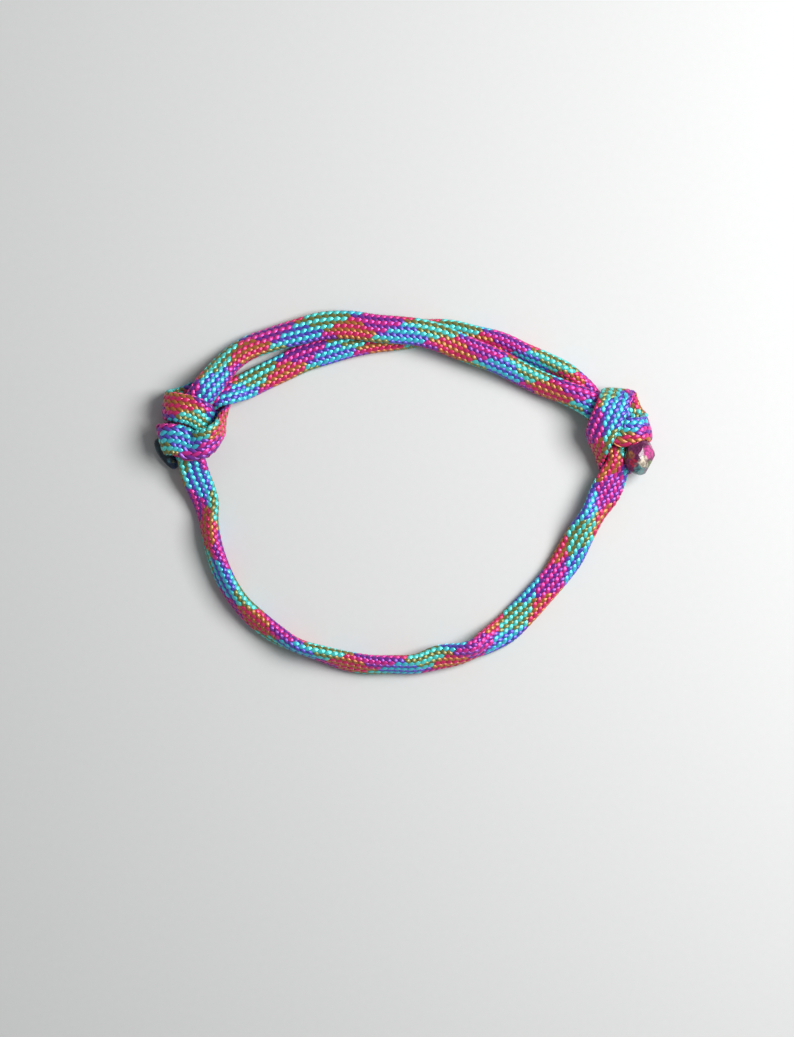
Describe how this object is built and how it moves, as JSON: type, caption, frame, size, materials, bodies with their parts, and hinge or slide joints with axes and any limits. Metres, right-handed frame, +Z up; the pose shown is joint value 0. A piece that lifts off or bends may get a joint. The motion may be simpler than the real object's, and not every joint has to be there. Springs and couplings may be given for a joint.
{
  "type": "braided cord bracelet",
  "caption": "Adjustable bracelet of one flattened braided cord, closed by two sliding knots on its doubled side, with melted cord ends.",
  "frame": {"origin": "on the surface that the bracelet lies on, under the middle of its outline", "axes": "+Z up from that surface, +Y towards the doubled strands between the two knots, +X towards the knot with the pink melted end"},
  "size_m": [0.0846, 0.0617, 0.0076],
  "materials": {
    "braided_cord": "braided, slightly shiny, in cyan, violet, pink and ochre yarns",
    "dark_melted_end": "glossy",
    "pink_melted_end": "glossy, faceted"
  },
  "bodies": {
    "root": {"wrist_strand": "braided_cord", "over_strand": "braided_cord", "under_strand": "braided_cord", "left_knot": "braided_cord", "right_knot": "braided_cord", "left_melted_end": "dark_melted_end", "right_melted_end": "pink_melted_end"}
  },
  "joints": []
}
